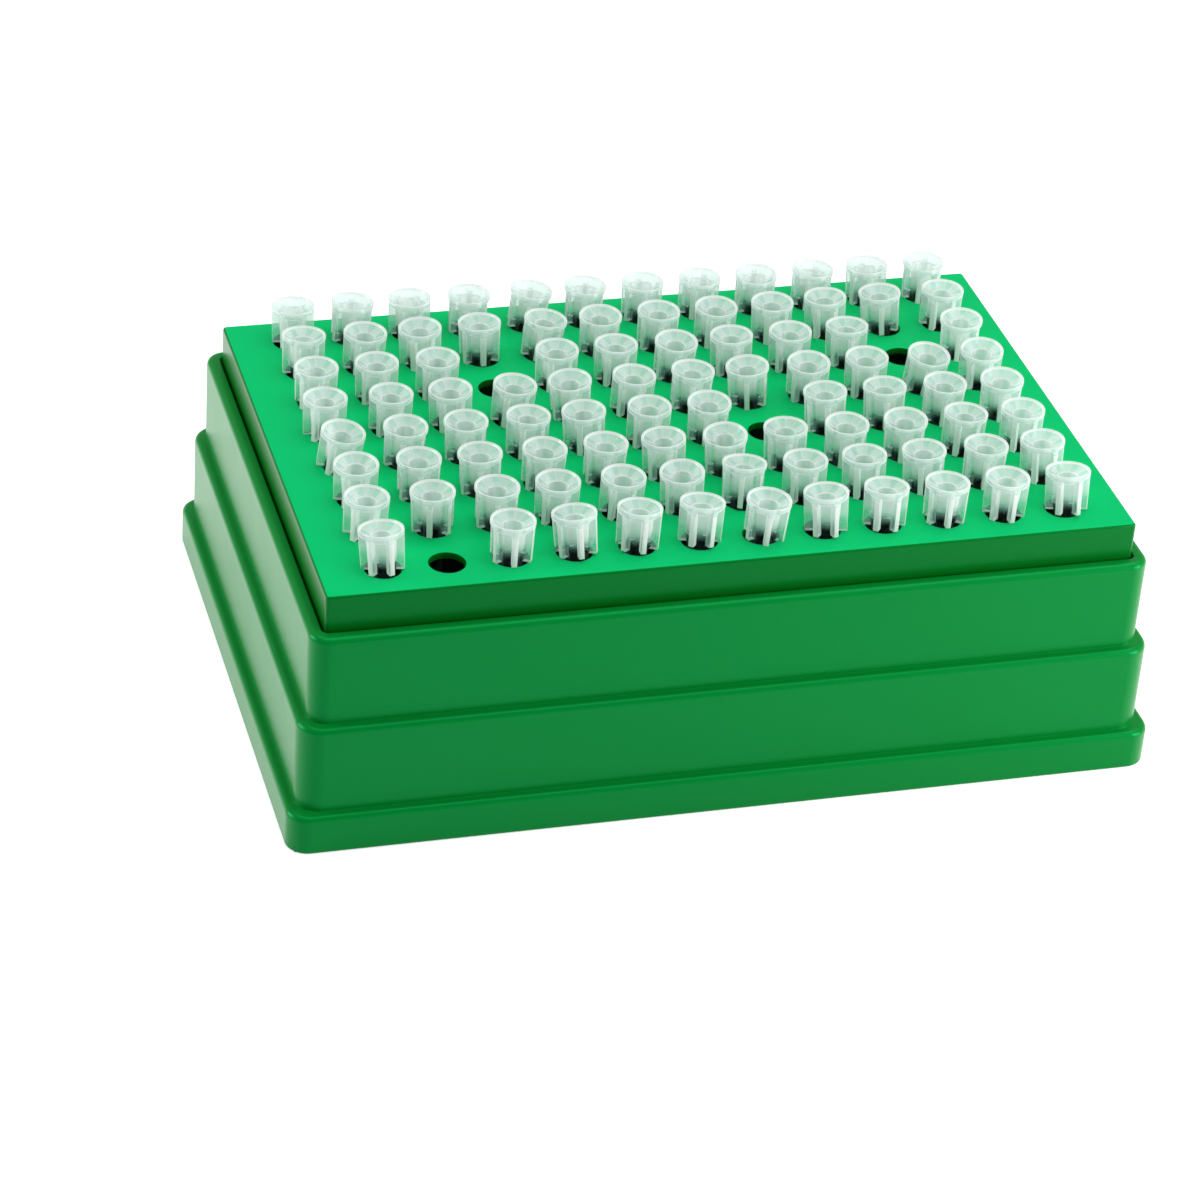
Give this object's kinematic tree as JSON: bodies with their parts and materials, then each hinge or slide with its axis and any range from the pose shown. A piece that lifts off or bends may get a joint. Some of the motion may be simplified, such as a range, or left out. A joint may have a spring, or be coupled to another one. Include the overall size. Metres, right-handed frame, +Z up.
{
  "type": "box of pipette tips",
  "caption": "Stepped green plastic rack with a drop-in tray that holds ribbed clear pipette tips upright in a grid of holes.",
  "frame": {"origin": "centre of the base's footprint, on the surface it stands on", "axes": "+X along the rack's long side, +Y towards the back row, +Z up"},
  "size_m": [0.1278, 0.0854, 0.0449],
  "materials": {
    "green_polypropylene": "satin moulded",
    "clear_polypropylene": "frosty natural"
  },
  "bodies": {
    "root": {"rack_base": "green_polypropylene", "tip_tray": "green_polypropylene", "tips_column_01": "clear_polypropylene", "tips_column_02": "clear_polypropylene", "tips_column_03": "clear_polypropylene", "tips_column_04": "clear_polypropylene", "tips_column_05": "clear_polypropylene", "tips_column_06": "clear_polypropylene", "tips_column_07": "clear_polypropylene", "tips_column_08": "clear_polypropylene", "tips_column_09": "clear_polypropylene", "tips_column_10": "clear_polypropylene", "tips_column_11": "clear_polypropylene", "tips_column_12": "clear_polypropylene"}
  },
  "joints": []
}
